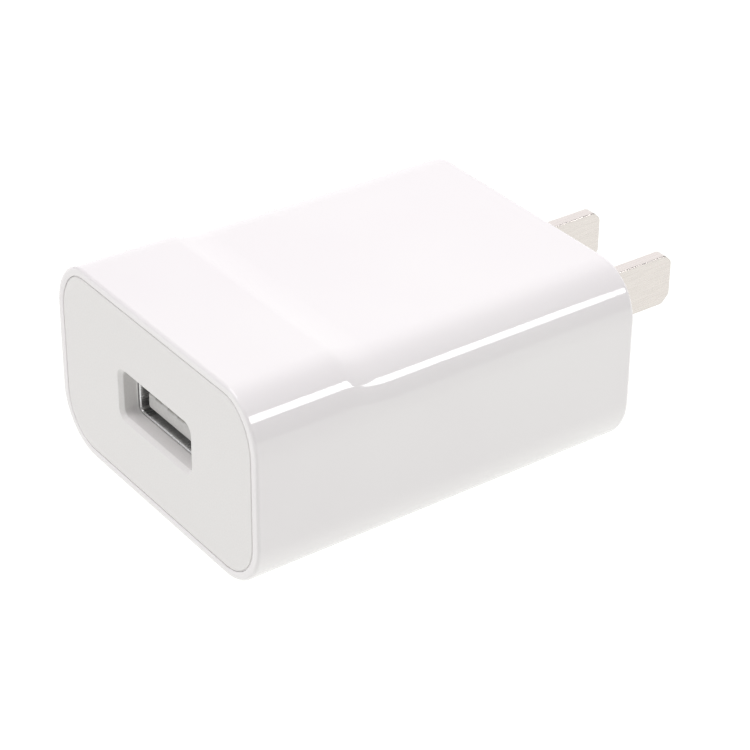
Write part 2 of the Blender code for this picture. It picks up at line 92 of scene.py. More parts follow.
def makeGrained(name, pale, deep, grain, roughness, depth, stretch=(1, 1, 1), spread=0.06, **shaderValues):
    # a surface whose colour, gloss and height all follow one grain; grain and depth are in mm, and the
    # noise lies mostly between 0.3 and 0.7
    material, tree, shader = newMaterial(name, **shaderValues)
    place = addNode(tree, "ShaderNodeTexCoord").outputs["Object"]
    mapped = addNode(tree, "ShaderNodeMapping", {"Vector": place, "Scale": stretch})
    noise = addNode(tree, "ShaderNodeTexNoise", {
        "Vector": mapped.outputs["Vector"], "Scale": 1 / (grain * mm), "Detail": 3.0}).outputs["Fac"]
    amount = addNode(tree, "ShaderNodeMapRange", {"Value": noise, "From Min": 0.35, "From Max": 0.65})
    colour = addNode(tree, "ShaderNodeMix", {
        0: amount.outputs["Result"], 6: linearColour(deep), 7: linearColour(pale)}, data_type="RGBA")
    gloss = addNode(tree, "ShaderNodeMapRange", {
        "Value": noise, "From Min": 0.3, "From Max": 0.7,
        "To Min": roughness - spread, "To Max": roughness + spread})
    bump = addNode(tree, "ShaderNodeBump", {"Height": noise, "Strength": 0.3, "Distance": depth * mm})
    tree.links.new(colour.outputs[2], shader.inputs["Base Color"])
    tree.links.new(gloss.outputs["Result"], shader.inputs["Roughness"])
    tree.links.new(bump.outputs["Normal"], shader.inputs["Normal"])
    return material


def paintOver(material, mask, socketName, value):
    # mixes a colour or a number over what the shader's socket has so far, where mask is 1
    tree = material.node_tree
    socket = tree.nodes["Principled BSDF"].inputs[socketName]
    before = socket.links[0].from_socket if socket.links else socket.default_value
    if socketName == "Base Color":
        mixed = addNode(tree, "ShaderNodeMix", {0: mask, 6: before, 7: linearColour(value)}, data_type="RGBA")
        tree.links.new(mixed.outputs[2], socket)
    else:
        mixed = addNode(tree, "ShaderNodeMix", {0: mask, 2: before, 3: value}, data_type="FLOAT")
        tree.links.new(mixed.outputs[0], socket)


def bandMask(tree, axis, low, high, edge):
    # 1 where the object coordinate along axis lies between low and high, in mm, with soft edges
    place = addNode(tree, "ShaderNodeTexCoord").outputs["Object"]
    along = addNode(tree, "ShaderNodeSeparateXYZ", {0: place}).outputs[axis]
    rise = addNode(tree, "ShaderNodeMapRange", {
        "Value": along, "From Min": (low - edge) * mm, "From Max": (low + edge) * mm})
    fall = addNode(tree, "ShaderNodeMapRange", {
        "Value": along, "From Min": (high - edge) * mm, "From Max": (high + edge) * mm,
        "To Min": 1.0, "To Max": 0.0})
    return addNode(tree, "ShaderNodeMath", {
        0: rise.outputs["Result"], 1: fall.outputs["Result"]}, operation="MULTIPLY").outputs["Value"]


def outlineWithCorners(width, low, high, top, bottom, steps):
    # (x, z) points, counterclockwise from the right; top and bottom are a corner's (across, down) half-axes
    half = width / 2
    corners = (
        (half - top[0], high - top[1], top, 0), (-half + top[0], high - top[1], top, 90),
        (-half + bottom[0], low + bottom[1], bottom, 180), (half - bottom[0], low + bottom[1], bottom, 270),
    )
    points = []
    for x, z, (across, down), start in corners:
        for step in range(steps + 1):
            angle = math.radians(start + 90 * step / steps)
            points.append((x + across * math.cos(angle), z + down * math.sin(angle)))
    return points


def roundedOutline(width, low, high, radius, steps):
    return outlineWithCorners(width, low, high, (radius, radius), (radius, radius), steps)


def quarterTurn(radius, steps):
    # (inset, depth) pairs round an edge, from the face it starts on to the wall it ends on
    pairs = []
    for step in range(steps + 1):
        angle = math.radians(90 * step / steps)
        pairs.append((radius * (1 - math.sin(angle)), radius * (1 - math.cos(angle))))
    return pairs


def addRing(mesh, y, outline):
    return [mesh.verts.new((x, y, z)) for x, z in outline]


def joinRings(mesh, rings):
    for near, far in zip(rings, rings[1:]):
        count = len(near)
        for i in range(count):
            j = (i + 1) % count
            mesh.faces.new((near[i], near[j], far[j], far[i]))


def fillBetween(mesh, *loops):
    # a flat face bounded by closed loops: the first is its outside, the others are holes
    edges = []
    for loop in loops:
        for first, second in zip(loop, loop[1:] + loop[:1]):
            edges.append(mesh.edges.get((first, second)) or mesh.edges.new((first, second)))
    bmesh.ops.triangle_fill(mesh, edges=edges, use_beauty=True)


def finishPiece(mesh, name, material, node, sharpAngle=35):
    # turns a bmesh in millimetres into a piece that stands for one CAD node
    bmesh.ops.remove_doubles(mesh, verts=mesh.verts, dist=0.0005)
    bmesh.ops.recalc_face_normals(mesh, faces=mesh.faces)
    bmesh.ops.transform(mesh, matrix=Matrix.Scale(mm, 4), verts=mesh.verts)
    data = bpy.data.meshes.new(name)
    mesh.to_mesh(data)
    mesh.free()
    data.shade_smooth()
    data.set_sharp_from_angle(angle=math.radians(sharpAngle))
    data.materials.append(material)
    piece = bpy.data.objects.new(name, data)
    bpy.context.scene.collection.objects.link(piece)
    even = piece.modifiers.new("even shading", "WEIGHTED_NORMAL")
    even.keep_sharp = True
    even.weight = 100
    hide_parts(node)
    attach(piece, "root")
    return piece


def nodeBoxMm(node):
    low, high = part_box(node)
    return low / mm, high / mm


cameraSetup = {
    "place": (192.511, -159.777, 142.066),  # mm from the middle of the outlet face
    "azimuth": 54.104,
    "elevation": 31.550,
    "roll": 0.523,
    "lens": 120.92,
    "sensor": 36.0,
}


def makeCamera():
    data = bpy.data.cameras.new("studioCamera")
    data.lens = cameraSetup["lens"]
    data.sensor_width = cameraSetup["sensor"]
    data.clip_start = 0.01
    camera = bpy.data.objects.new("studioCamera", data)
    turn = Matrix.Rotation(math.radians(cameraSetup["azimuth"]), 4, "Z")
    tilt = Matrix.Rotation(math.radians(90 - cameraSetup["elevation"]), 4, "X")
    roll = Matrix.Rotation(math.radians(cameraSetup["roll"]), 4, "Z")
    camera.matrix_world = Matrix.Translation(Vector(cameraSetup["place"]) * mm) @ turn @ tilt @ roll
    bpy.context.scene.collection.objects.link(camera)
    bpy.context.scene.camera = camera


makeCamera()
print("camera placed")

shellFinish = {
    "pale": "F2F0F0",
    "deep": "EFECED",
    "clouds": 27.0,    # mm across, the slow drift of tone in a moulded wall
    "marks": 4.0,      # mm across, soft handling marks in the gloss
    "waves": 9.0,      # mm from crest to crest
    "waveDepth": 0.003,
    "polished": 0.05,  # roughness, where the mould left it clean
    "handled": 0.09,   # and where it is marked
}


def makeGlossyPlastic():
    # White polycarbonate blend from a polished mould: a hard clear gloss over an even body colour, with the
    # faint long waves that a moulded wall keeps and a few soft handling marks.
    finish = shellFinish
    material, tree, shader = newMaterial("polishedPolycarbonate", IOR=1.58)
    place = addNode(tree, "ShaderNodeTexCoord").outputs["Object"]
    clouds = addNode(tree, "ShaderNodeTexNoise", {
        "Vector": place, "Scale": 1 / (finish["clouds"] * mm), "Detail": 2.0})
    amount = addNode(tree, "ShaderNodeMapRange", {
        "Value": clouds.outputs["Fac"], "From Min": 0.3, "From Max": 0.7})
    colour = addNode(tree, "ShaderNodeMix", {
        0: amount.outputs["Result"], 6: linearColour(finish["deep"]), 7: linearColour(finish["pale"])},
        data_type="RGBA")
    marks = addNode(tree, "ShaderNodeTexNoise", {
        "Vector": place, "Scale": 1 / (finish["marks"] * mm), "Detail": 5.0})
    gloss = addNode(tree, "ShaderNodeMapRange", {
        "Value": marks.outputs["Fac"], "From Min": 0.45, "From Max": 0.75,
        "To Min": finish["polished"], "To Max": finish["handled"]})
    waves = addNode(tree, "ShaderNodeTexNoise", {
        "Vector": place, "Scale": 1 / (finish["waves"] * mm), "Detail": 0.0})
    bump = addNode(tree, "ShaderNodeBump", {
        "Height": waves.outputs["Fac"], "Strength": 1.0, "Distance": finish["waveDepth"] * mm})
    tree.links.new(colour.outputs[2], shader.inputs["Base Color"])
    tree.links.new(gloss.outputs["Result"], shader.inputs["Roughness"])
    tree.links.new(bump.outputs["Normal"], shader.inputs["Normal"])
    return material


glossyPlastic = makeGlossyPlastic()

# The same resin moulded against a spark-eroded face: the pitted grain scatters the shine, so the panel
# looks flat. The real pits are about 0.05 mm; they are drawn four times as coarse, so that they show.
panelPlastic = makeGrained("sparkErodedPolycarbonate", "ECEAE9", "E8E6E5", 0.2, 0.5, 0.02, IOR=1.58)

# Glass-filled nylon, moulded: dull, with the faint streaks of the fibres near its surface.
tonguePlastic = makeGrained(
    "mouldedGlassFilledNylon", "D8D7D5", "CFCECC", 0.3, 0.42, 0.01, stretch=(1, 0.3, 1), IOR=1.53)

# Brass strip, stamped and barrel plated with bright nickel: a warm silver with fine lines from rolling
# along the strip. The lines are about 0.02 mm apart; they are drawn as wide as 0.12 mm, so that they show.
nickelPlate = makeGrained(
    "brightNickelPlate", "DFD9D5", "D7D1CD", 0.12, 0.26, 0.003, stretch=(1, 0.03, 1), Metallic=1.0)

# Thin steel strip with a bright tin finish, folded to shape: cool silver, with rolling lines along it.
tinnedSteel = makeGrained(
    "brightTinnedSteel", "E4E4E4", "D0D1D2", 0.1, 0.24, 0.005, stretch=(1, 0.05, 1), Metallic=1.0)
print("outer materials made")

housingShape = {
    "topCorner": 5.8,       # radii of the case's long edges
    "bottomCorner": 6.4,
    "collarRise": 0.85,     # how far the front part of the top stands above the rest
    "collarLength": 11.75,
    "collarLastRing": 0.6,  # a ring this far before the crease keeps the collar's shading level
    "creaseRadius": 3.0,
    "creaseLength": 1.0,
    "frontEdge": 0.35,
    "rearEdge": 0.6,
    "rearNarrowing": 0.5,   # how much narrower the case is at the outlet end
    "wall": 1.6,
    "outletWall": 2.0,
    "rimSide": 1.1,         # the flat rim round the panel, at the sides and at the top and bottom
    "rimTop": 0.95,
    "mouthEdge": 0.1,
    "ledgeDepth": 2.05,
    "slotGap": 0.12,
    "slotEdge": 0.12,
    "slotCorner": 0.25,
    "cornerSteps": 28,      # from here on: how finely each curve is drawn
    "creaseSteps": 5,
    "coveSteps": 20,
    "frontSteps": 8,
    "rearSteps": 10,
    "mouthSteps": 4,
    "slotSteps": 3,
}
bladeShape = {
    "pitch": 12.7,
    "width": 6.35,
    "thickness": 1.5,
    "tail": 7.0,         # the part inside the case, pressed thinner
    "tailStep": 0.1,     # by this much on each side
    "tailInset": 0.05,   # and this much less tall at each end
    "tailOverlap": 0.3,  # how far it starts inside the blade
    "root": 0.05,        # where the full thickness starts, outside the outlet face
    "tipCorner": 1.0,
    "tipBend": 0.3,
    "tipRound": 0.35,
    "sideRound": 0.14,
    "edgeSteps": 4,
}
housingLow, housingHigh = nodeBoxMm("housing_shell")
faceY, outletY = housingLow.y, housingHigh.y
bottomZ, collarZ = housingLow.z, housingHigh.z
frontWidth = 2 * housingHigh.x
rearTopZ = collarZ - housingShape["collarRise"]
portZ = (collarZ + bottomZ) / 2
creaseY = faceY + housingShape["collarLength"]
coveY = creaseY + housingShape["creaseLength"]
coveDrop = housingShape["collarRise"] - housingShape["creaseLength"] ** 2 / (2 * housingShape["creaseRadius"])
coveLength = 2 * coveDrop * housingShape["creaseRadius"] / housingShape["creaseLength"]


def housingTop(y):
    # level over the collar, rounded over at the crease, then a hollow curve that runs out level
    if y <= creaseY:
        return collarZ
    if y <= coveY:
        return collarZ - (y - creaseY) ** 2 / (2 * housingShape["creaseRadius"])
    return rearTopZ + coveDrop * max(0.0, 1 - (y - coveY) / coveLength) ** 2


def housingOutline(y, inset):
    shape = housingShape
    width = frontWidth - shape["rearNarrowing"] * (y - faceY) / (outletY - faceY)
    across, bottom = shape["topCorner"] - inset, shape["bottomCorner"] - inset
    down = across + housingTop(y) - rearTopZ
    return outlineWithCorners(
        width - 2 * inset, bottomZ + inset, housingTop(y) - inset, (across, down), (bottom, bottom),
        shape["cornerSteps"])


def mouthOutline(gap=0.0):
    # the opening in the housing's front end, or with a gap the panel that fills it
    shape = housingShape
    side, end = shape["rimSide"] + gap, shape["rimTop"] + gap
    across, down = shape["topCorner"] - side, shape["topCorner"] + shape["collarRise"] - end
    bottom = shape["bottomCorner"] - side
    return outlineWithCorners(
        frontWidth - 2 * side, bottomZ + end, collarZ - end, (across, down), (bottom, bottom),
        shape["cornerSteps"])


def slotLoop(mesh, x, y, grow=0.0):
    gap = housingShape["slotGap"] + grow
    tall = bladeShape["width"] / 2 + gap
    corner = housingShape["slotCorner"] + grow
    outline = roundedOutline(bladeShape["thickness"] + 2 * gap, -tall, tall, corner, 4)
    return addRing(mesh, y, [(x + px, pz) for px, pz in outline])


def makeHousing():
    shape = housingShape
    mesh = bmesh.new()
    rings = []
    for inset, depth in quarterTurn(shape["frontEdge"], shape["frontSteps"]):
        rings.append(addRing(mesh, faceY + depth, housingOutline(faceY + depth, inset)))
    creaseSteps, coveSteps = shape["creaseSteps"], shape["coveSteps"]
    crease = [creaseY + shape["creaseLength"] * step / creaseSteps for step in range(creaseSteps)]
    cove = [coveY + coveLength * (step / coveSteps) for step in range(coveSteps + 1)]
    for y in [creaseY - shape["collarLastRing"]] + crease + cove:
        rings.append(addRing(mesh, y, housingOutline(y, 0)))
    for inset, depth in reversed(quarterTurn(shape["rearEdge"], shape["rearSteps"])):
        rings.append(addRing(mesh, outletY - depth, housingOutline(outletY - depth, inset)))
    joinRings(mesh, rings)

    # the rim's flat front, its inner edge, the ledge behind the panel and the hollow inside
    mouth = [rings[0]]
    for inset, depth in quarterTurn(shape["mouthEdge"], shape["mouthSteps"]):
        mouth.append(addRing(mesh, faceY + depth, mouthOutline(-inset)))
    ledgeY = faceY + shape["ledgeDepth"]
    mouth.append(addRing(mesh, ledgeY, mouthOutline()))
    for y in [ledgeY, creaseY] + cove[::5] + [outletY - shape["outletWall"]]:
        mouth.append(addRing(mesh, y, housingOutline(y, shape["wall"])))
    joinRings(mesh, mouth)

    # the outlet face with its two blade slots, whose edges are a little round
    outside, inside = [], []
    for x in (-bladeShape["pitch"] / 2, bladeShape["pitch"] / 2):
        slot = [slotLoop(mesh, x, outletY - depth, inset)
                for inset, depth in quarterTurn(shape["slotEdge"], shape["slotSteps"])]
        slot.append(slotLoop(mesh, x, outletY - shape["outletWall"]))
        joinRings(mesh, slot)
        outside.append(slot[0])
        inside.append(slot[-1])
    fillBetween(mesh, rings[-1], *outside)
    fillBetween(mesh, mouth[-1], *inside)
    return finishPiece(mesh, "housingShell", glossyPlastic, "housing_shell")


housingShell = makeHousing()
print("housing made,", len(housingShell.data.polygons), "faces")

panelShape = {
    "gap": 0.11,         # the groove round the panel
    "grooveDepth": 0.13,
    "seat": 0.03,        # what is left of the gap below the groove
    "thickness": 1.8,
    "edge": 0.12,
    "edgeSteps": 5,
    "portWidth": 13.7,
    "portHeight": 5.6,
    "portCorner": 0.8,
    "chamfer": 0.4,
    "chamferEase": 0.07,
    "portDepth": 2.02,   # the port's wall runs on to the socket's steel lip
    "portDraw": 0.25,    # and closes in on it by this much at each side
    "skirtLength": 3.0,
    "skirtWall": 1.0,
    "fit": 0.3,          # between the skirt and the case's inside
}


def portOutline(grow, draw=0.0):
    shape = panelShape
    half = shape["portHeight"] / 2 + grow
    return roundedOutline(
        shape["portWidth"] + 2 * (grow - draw), portZ - half, portZ + half, shape["portCorner"] + grow, 12)


def makePanel():
    shape = panelShape
    mesh = bmesh.new()
    backY = faceY + shape["thickness"]
    front = [addRing(mesh, faceY + depth, mouthOutline(shape["gap"] + inset))
             for inset, depth in quarterTurn(shape["edge"], shape["edgeSteps"])]
    skirtInset = housingShape["wall"] + shape["fit"]
    inner = skirtInset + shape["skirtWall"]
    skirtY = backY + shape["skirtLength"]
    outer = front + [addRing(mesh, y, mouthOutline(gap)) for y, gap in (
        (faceY + shape["grooveDepth"], shape["gap"]), (faceY + shape["grooveDepth"], shape["seat"]),
        (backY, shape["seat"]))]
    outer += [addRing(mesh, y, housingOutline(faceY, inset)) for y, inset in (
        (backY, skirtInset), (skirtY, skirtInset), (skirtY, inner), (backY, inner))]
    joinRings(mesh, outer)

    # the port: a chamfer with both its edges eased, then a straight wall
    chamfer, ease = shape["chamfer"], shape["chamferEase"]
    profile = (
        (chamfer + 1.5 * ease, 0), (chamfer + 0.7 * ease, 0.2 * ease), (chamfer, 0.9 * ease),
        (ease, chamfer - 0.2 * ease), (0.2 * ease, chamfer + 0.5 * ease), (0, chamfer + 1.5 * ease),
    )
    port = [addRing(mesh, faceY + depth, portOutline(grow)) for grow, depth in profile]
    port.append(addRing(mesh, backY, portOutline(0)))
    lipY = faceY + shape["portDepth"]
    port.append(addRing(mesh, lipY, portOutline(0, draw=shape["portDraw"])))
    port.append(addRing(mesh, lipY, portOutline(shape["chamfer"])))
    port.append(addRing(mesh, backY, portOutline(shape["chamfer"])))
    joinRings(mesh, port)
    fillBetween(mesh, front[0], port[0])
    fillBetween(mesh, outer[-1], port[-1])
    return finishPiece(mesh, "facePanel", panelPlastic, "face_panel", sharpAngle=50)


makePanel()
print("face panel made")

socketShape = {
    "sheet": 0.3,
    "corner": 0.8,
    "lipOutside": 0.03,
    "lipInside": 0.2,
    "tongueWidth": 11.1,
    "tongueHigh": -0.16,    # above the middle of the port
    "tongueLow": -2.0,
    "tongueLength": 8.8,
    "tongueEdge": 0.28,
    "blockEdge": 0.4,
    "grooveWidth": 1.3,
    "grooveDepth": 0.12,
    "contactXs": (-3.5, -1.0, 1.0, 3.5),
    "contactLow": 0.06,     # the slots that the contacts leave the block by, above the tongue
    "contactHigh": 0.57,
}


def makeSocketShell():
    shape = socketShape
    low, high = nodeBoxMm("usb_shell")
    width, sheet = high.x - low.x, shape["sheet"]

    def outline(inset):
        return roundedOutline(width - 2 * inset, low.z + inset, high.z - inset, shape["corner"] - inset, 8)

    mesh = bmesh.new()
    rings = [addRing(mesh, low.y + depth, outline(inset))
             for inset, depth in quarterTurn(shape["lipOutside"], 3)]
    rings.append(addRing(mesh, high.y, outline(0)))
    rings.append(addRing(mesh, high.y, outline(sheet)))
    for inset, depth in reversed(quarterTurn(shape["lipInside"], 5)):
        rings.append(addRing(mesh, low.y + depth, outline(sheet - inset)))
    joinRings(mesh, rings + [rings[0]])
    return finishPiece(mesh, "socketShell", tinnedSteel, "usb_shell")


def tongueOutline(inset):
    # a bar whose upper side has a groove under each contact; the inset draws it in evenly
    shape = socketShape
    half, edge = shape["tongueWidth"] / 2, shape["tongueEdge"]
    low, high = portZ + shape["tongueLow"], portZ + shape["tongueHigh"]
    points = roundedOutline(2 * half, low, high, edge, 4)
    grooves = []
    for x in reversed(shape["contactXs"]):
        right, left = x + shape["grooveWidth"] / 2, x - shape["grooveWidth"] / 2
        floor = high - shape["grooveDepth"]
        grooves += [(right, high), (right, floor), (left, floor), (left, high)]
    points[5:5] = grooves
    middle = (low + high) / 2
    across, up = 1 - inset / half, 1 - inset / (high - middle)
    return [(x * across, middle + (z - middle) * up) for x, z in points]


def makeInsulator():
    shape = socketShape
    low, high = nodeBoxMm("usb_insulator")
    blockY = low.y + shape["tongueLength"]
    mesh = bmesh.new()
    tongue = [addRing(mesh, low.y + depth, tongueOutline(inset))
              for inset, depth in quarterTurn(shape["tongueEdge"], 5)]
    tongue.append(addRing(mesh, blockY, tongueOutline(0)))
    joinRings(mesh, tongue)
    mesh.faces.new(tongue[0])

    edge = shape["blockEdge"]
    block = []
    for inset, y in ((edge, blockY), (0, blockY + edge), (0, high.y - edge), (edge, high.y)):
        outline = roundedOutline(2 * (high.x - inset), low.z + inset, high.z - inset, edge, 4)
        block.append(addRing(mesh, y, outline))
    joinRings(mesh, block)
    slots = []
    for x in shape["contactXs"]:
        half = shape["grooveWidth"] / 2
        corners = [(x + half, shape["contactLow"]), (x + half, shape["contactHigh"]),
                   (x - half, shape["contactHigh"]), (x - half, shape["contactLow"])]
        floor = portZ + shape["tongueHigh"]
        slots.append([addRing(mesh, y, [(px, floor + pz) for px, pz in corners]) for y in (blockY, high.y)])
        joinRings(mesh, slots[-1])
    fillBetween(mesh, block[0], tongue[-1], *[slot[0] for slot in slots])
    fillBetween(mesh, block[-1], *[slot[1] for slot in slots])
    return finishPiece(mesh, "socketInsulator", tonguePlastic, "usb_insulator")


makeSocketShell()
makeInsulator()
print("socket made")


def bentRun(start, bend, end, steps=4):
    # points along a curve that leaves towards bend and arrives from it
    points = []
    for step in range(steps + 1):
        t = step / steps
        points.append(tuple(
            (1 - t) ** 2 * a + 2 * t * (1 - t) * b + t * t * c for a, b, c in zip(start, bend, end)))
    return points


def makeBlade(side, centreX):
    shape = bladeShape
    low, high = nodeBoxMm(f"blade_{side}")
    half, thick = shape["width"] / 2, shape["thickness"] / 2
    corner, bend = shape["tipCorner"], shape["tipBend"]

    def outline(endInset, sideInset):
        # (y, z) points from the root round the tip, whose two corners are cut and softened
        reach, tall = high.y - endInset, half - sideInset
        first, second = (reach - corner, tall), (reach, tall - corner)
        run = bentRun((first[0] - bend, tall), first, (first[0] + 0.7 * bend, tall - 0.7 * bend))
        run += bentRun((reach - 0.7 * bend, second[1] + 0.7 * bend), second, (reach, second[1] - bend))
        lower = [(y, -z) for y, z in run]
        return [(shape["root"], -tall)] + lower + run[::-1] + [(shape["root"], tall)]

    mesh = bmesh.new()
    rings = []
    rounds = quarterTurn(1.0, shape["edgeSteps"])
    for facing, turns in ((-1, rounds), (1, rounds[::-1])):
        for inset, depth in turns:
            points = outline(inset * shape["tipRound"], inset * shape["sideRound"])
            x = centreX + facing * (thick - depth * shape["sideRound"])
            rings.append([mesh.verts.new((x, y, z)) for y, z in points])
    joinRings(mesh, rings)
    mesh.faces.new(rings[0])
    mesh.faces.new(rings[-1])

    # the tail, pressed thinner, starts inside the blade and ends in the case
    tail = bmesh.ops.create_cube(mesh, size=1)["verts"]
    length = shape["tail"] + shape["root"] + shape["tailOverlap"]
    across, tall = shape["thickness"] - 2 * shape["tailStep"], 2 * (half - shape["tailInset"])
    size = Matrix.Diagonal((across, length, tall, 1))
    middle = Matrix.Translation((centreX, length / 2 - shape["tail"], 0))
    bmesh.ops.transform(mesh, matrix=middle @ size, verts=tail)
    return finishPiece(
        mesh, f"blade{side.capitalize()}", nickelPlate, f"blade_{side}", sharpAngle=50)


for side, sign in (("left", -1), ("right", 1)):
    makeBlade(side, sign * bladeShape["pitch"] / 2)
print("blades made")


laminateFinish = {
    "layout": 5.0,        # mm; the tracks run along the joints of a brick pattern, whose sizes are in this
    "cellLength": 1.7,
    "cellHeight": 0.5,
    "trackWidth": 0.12,
    "trackColour": "3C9A4E",
    "trackStrength": 0.55,
}


def makeLaminate():
    # Glass cloth and epoxy, pressed and coated with green solder mask: a satin green whose weave shows a
    # little, with paler tracks where copper lies under the mask. Threads are about 0.5 mm apart.
    finish = laminateFinish
    material = makeGrained("solderMaskedGlassEpoxy", "1F6B34", "185A2B", 0.5, 0.35, 0.01, IOR=1.52)
    tree = material.node_tree
    place = addNode(tree, "ShaderNodeTexCoord").outputs["Object"]
    tracks = addNode(tree, "ShaderNodeTexBrick", {
        "Vector": place, "Color1": (1, 1, 1, 1), "Color2": (0.9, 0.9, 0.9, 1), "Mortar": (0, 0, 0, 1),
        "Scale": 1 / (finish["layout"] * mm), "Mortar Size": finish["trackWidth"],
        "Brick Width": finish["cellLength"], "Row Height": finish["cellHeight"]})
    mask = addNode(tree, "ShaderNodeMath", {
        0: tracks.outputs["Fac"], 1: finish["trackStrength"]}, operation="MULTIPLY")
    paintOver(material, mask.outputs["Value"], "Base Color", finish["trackColour"])
    return material


def makeWound(name, pale, deep, pitch, axis, roughness, **shaderValues):
    # turns laid side by side along axis, pitch mm apart: a bright crest and a dark joint for each
    material = makeGrained(name, pale, deep, 1.5, roughness, 0.005, **shaderValues)
    tree = material.node_tree
    shader = tree.nodes["Principled BSDF"]
    place = addNode(tree, "ShaderNodeTexCoord").outputs["Object"]
    turns = addNode(tree, "ShaderNodeTexWave", {"Vector": place, "Scale": math.pi / (10 * pitch * mm)},
                    wave_type="BANDS", bands_direction=axis)
    joints = addNode(tree, "ShaderNodeMapRange", {
        "Value": turns.outputs["Fac"], "From Min": 0.0, "From Max": 0.4, "To Min": 0.6, "To Max": 0.0})
    paintOver(material, joints.outputs["Result"], "Base Color", deep)
    bump = addNode(tree, "ShaderNodeBump", {
        "Height": turns.outputs["Fac"], "Strength": 0.8, "Distance": 0.3 * pitch * mm})
    tree.links.new(bump.outputs["Normal"], shader.inputs["Normal"])
    return material


sleeveFinish = {
    "stripeWidth": 0.9,
    "stripeColour": "B9BCC4",
    "bareLength": 0.45,
    "bareColour": "D2D3D4",
    "softness": 0.05,
}


def makeSleeve(node):
    # An aluminium can in a shrunk vinyl sleeve: deep blue with a pale stripe for the negative side, and a
    # bare bright end. One material for each can, because the stripe and the end follow its place.
    low = nodeBoxMm(node)[0]
    material = makeGrained(f"shrunkVinyl_{node}", "23283F", "1C2036", 1.2, 0.3, 0.01, IOR=1.53)
    tree = material.node_tree
    finish = sleeveFinish
    stripe = bandMask(tree, "X", low.x - 1, low.x + finish["stripeWidth"], finish["softness"])
    paintOver(material, stripe, "Base Color", finish["stripeColour"])
    bareEnd = bandMask(tree, "Z", low.z - 1, low.z + finish["bareLength"], finish["softness"])
    paintOver(material, bareEnd, "Base Color", finish["bareColour"])
    paintOver(material, bareEnd, "Metallic", 1.0)
    return material


fuseFinish = {
    "rings": ((2.6, "5B3A22"), (3.8, "20201F"), (5.0, "C8862B"), (6.3, "B89A48")),  # mm from the end, colour
    "ringWidth": 0.6,
    "capLength": 1.4,
    "capColour": "C9CACA",
    "softness": 0.04,
}


def makeFuseLacquer():
    # Flameproof cement and lacquer over a wire-wound rod, dipped and baked: dull sea green, with value
    # rings between the bare tinned caps.
    finish = fuseFinish
    low, high = nodeBoxMm("fuse_resistor")
    material = makeGrained("bakedFlameproofLacquer", "6FA08E", "5F9080", 0.4, 0.55, 0.02)
    tree = material.node_tree
    for place, colour in finish["rings"]:
        start = low.x + place
        ring = bandMask(tree, "X", start, start + finish["ringWidth"], finish["softness"])
        paintOver(material, ring, "Base Color", colour)
    for start, end in ((low.x - 1, low.x + finish["capLength"]), (high.x - finish["capLength"], high.x + 1)):
        cap = bandMask(tree, "X", start, end, finish["softness"])
        paintOver(material, cap, "Base Color", finish["capColour"])
        paintOver(material, cap, "Metallic", 1.0)
    return material


def dressInside():
    # finishes for the pieces behind the panel; where a comment gives none, the grain is the real size
    holder = makeGrained(  # urea, pressed in a heated mould: off-white and slightly mottled
        "pressedUreaMoulding", "E6E3DA", "DDD9CF", 0.6, 0.45, 0.01, IOR=1.55)
    bronze = makeGrained(  # cold-rolled phosphor bronze strip: warm metal with lines along the leaf
        "rolledPhosphorBronze", "C98F5E", "B67B4B", 0.12, 0.3, 0.005, stretch=(1, 1, 0.05), Metallic=1.0)
    gold = makeGrained(  # spring copper alloy, flash plated with gold: yellow and bright
        "flashGoldPlate", "E3C078", "D6AE62", 0.1, 0.22, 0.004, stretch=(1, 0.05, 1), Metallic=1.0)
    ferrite = makeGrained(  # sintered and ground: near black, dull, with pores of about 0.15 mm
        "groundSinteredFerrite", "3A3A3D", "29292B", 0.15, 0.6, 0.02, IOR=2.3)
    phenolic = makeGrained(  # pressed phenolic with wood-flour filler: black, satin, slightly speckled
        "pressedPhenolic", "26231F", "1B1917", 0.35, 0.45, 0.015, IOR=1.6)
    epoxy = makeGrained(  # transfer-moulded epoxy with silica filler: charcoal and dull
        "transferMouldedEpoxy", "2A2A2B", "202021", 0.12, 0.6, 0.01, IOR=1.55)
    blueDip = makeGrained(  # a ceramic disc dipped in blue epoxy: glossy, with a dimpled skin
        "dippedBlueEpoxy", "3D78BE", "346CB0", 0.8, 0.25, 0.04, IOR=1.55)
    paper = makeGrained(  # vulcanised fibre sheet, calendered: grey-buff with fibres lying across
        "calenderedFishPaper", "B9AE95", "A99D83", 0.4, 0.8, 0.02, stretch=(0.2, 1, 1), IOR=1.5)
    tape = makeWound(  # polyester film tape wound over the coil: clear yellow, with its overlaps showing
        "woundPolyesterTape", "E2C02C", "B8921C", 2.4, "X", 0.3, IOR=1.64)
    copper = makeWound(  # enamelled wire laid turn by turn; each turn is 0.35 mm
        "layeredEnamelledCopper", "C8743A", "7A3E1C", 0.35, "Z", 0.28, Metallic=1.0)
    finishes = {
        "main_board": makeLaminate(), "blade_holder": holder,
        "blade_contact_left": bronze, "blade_contact_right": bronze,
        "transformer_core_left": ferrite, "transformer_core_right": ferrite, "filter_choke": ferrite,
        "transformer_bobbin": phenolic, "transformer_winding": tape, "choke_winding": copper,
        "bridge_rectifier": epoxy, "controller_chip": epoxy, "output_diode": epoxy,
        "safety_capacitor": blueDip, "fuse_resistor": makeFuseLacquer(), "insulation_sheet": paper,
    }
    finishes.update({f"usb_contact_{number}": gold for number in range(1, 5)})
    for node in ("input_capacitor_1", "input_capacitor_2", "output_capacitor"):
        finishes[node] = makeSleeve(node)
    for node, finish in finishes.items():
        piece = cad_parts[node]
        for slot in piece.material_slots:
            slot.material = finish
    return len(finishes)


print("inside dressed,", dressInside(), "pieces")

